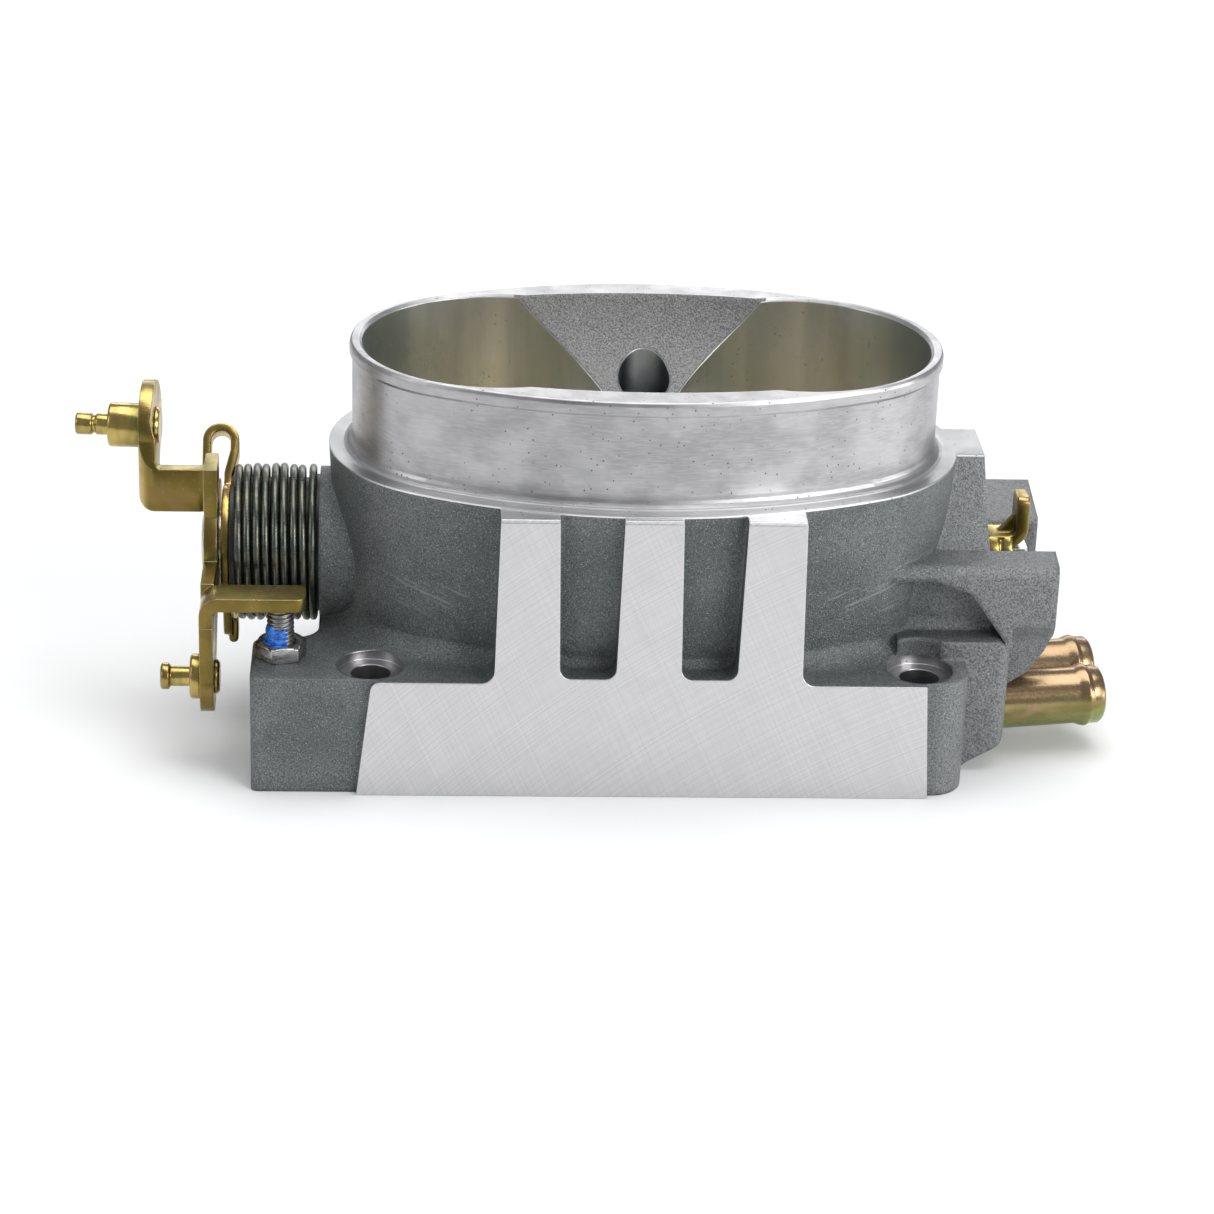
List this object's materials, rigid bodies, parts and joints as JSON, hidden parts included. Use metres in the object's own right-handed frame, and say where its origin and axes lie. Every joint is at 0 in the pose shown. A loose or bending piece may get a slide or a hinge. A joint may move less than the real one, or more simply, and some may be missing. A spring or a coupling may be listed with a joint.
{
  "type": "twin-bore throttle body",
  "caption": "Twin-bore throttle body with an oval inlet neck, ribbed front pad, sprung throttle linkage, idle stop screw and coolant hose nipples.",
  "frame": {"origin": "centre of the engine-side mounting face, midway between the two bores", "axes": "+X along the throttle shaft towards the position-sensor end, +Y away from the ribbed machined pad, +Z along the bores from the mounting face to the air inlet"},
  "size_m": [0.2288, 0.0985, 0.0888],
  "materials": {
    "cast_aluminium": "as-cast grain, machined neck, pad and bores",
    "bearing_bronze": "satin",
    "seal_rubber": "matte",
    "black_nylon": "semi-matte moulded",
    "screw_steel": "plain threaded steel",
    "nut_steel": "bright machined",
    "yellow_zinc_tube": "yellow zinc plate with a pink and green sheen",
    "plug_brass": "satin",
    "gasket_fibre": "matte fibre",
    "cover_aluminium": "as-cast with a machined port face",
    "spring_steel": "dark oiled wire",
    "shaft_steel": "ground",
    "plate_brass": "satin",
    "yellow_zinc_lever": "yellow zinc plate, rolled grain",
    "yellow_zinc_stud": "yellow zinc plate, turned"
  },
  "bodies": {
    "throttle_body": {"throttle_body_casting": "cast_aluminium", "shaft_bearing_left": "bearing_bronze", "shaft_bearing_right": "bearing_bronze", "shaft_seal_left": "seal_rubber", "shaft_seal_right": "seal_rubber", "spring_guide_body": "black_nylon", "stop_screw": "screw_steel", "stop_screw_locknut": "nut_steel", "hose_nipple_front": "yellow_zinc_tube", "hose_nipple_rear": "yellow_zinc_tube", "coolant_gallery_plug": "plug_brass", "idle_air_gasket": "gasket_fibre", "idle_air_cover": "cover_aluminium", "idle_air_cover_screws": "screw_steel", "return_spring": "spring_steel"},
    "throttle_assembly": {"throttle_shaft": "shaft_steel", "throttle_plate_left": "plate_brass", "throttle_plate_right": "plate_brass", "plate_screws_left": "screw_steel", "plate_screws_right": "screw_steel", "throttle_lever": "yellow_zinc_lever", "cable_stud_upper": "yellow_zinc_stud", "cable_stud_lower": "yellow_zinc_stud", "spring_hook_lever": "yellow_zinc_lever", "lever_spacer": "shaft_steel", "spring_guide_lever": "black_nylon", "sensor_drive_lever": "yellow_zinc_lever", "sensor_drive_collar": "yellow_zinc_stud"}
  },
  "joints": [
    {"name": "throttle_turn", "type": "hinge", "parent": "throttle_body", "child": "throttle_assembly", "pos_m": [0, 0, 0.0403], "axis": [-1, 0, 0], "range_deg": [0, 80], "stiffness_Nm_per_rad": 0.35, "springref_deg": -68.75, "deforming": ["return_spring"]}
  ]
}
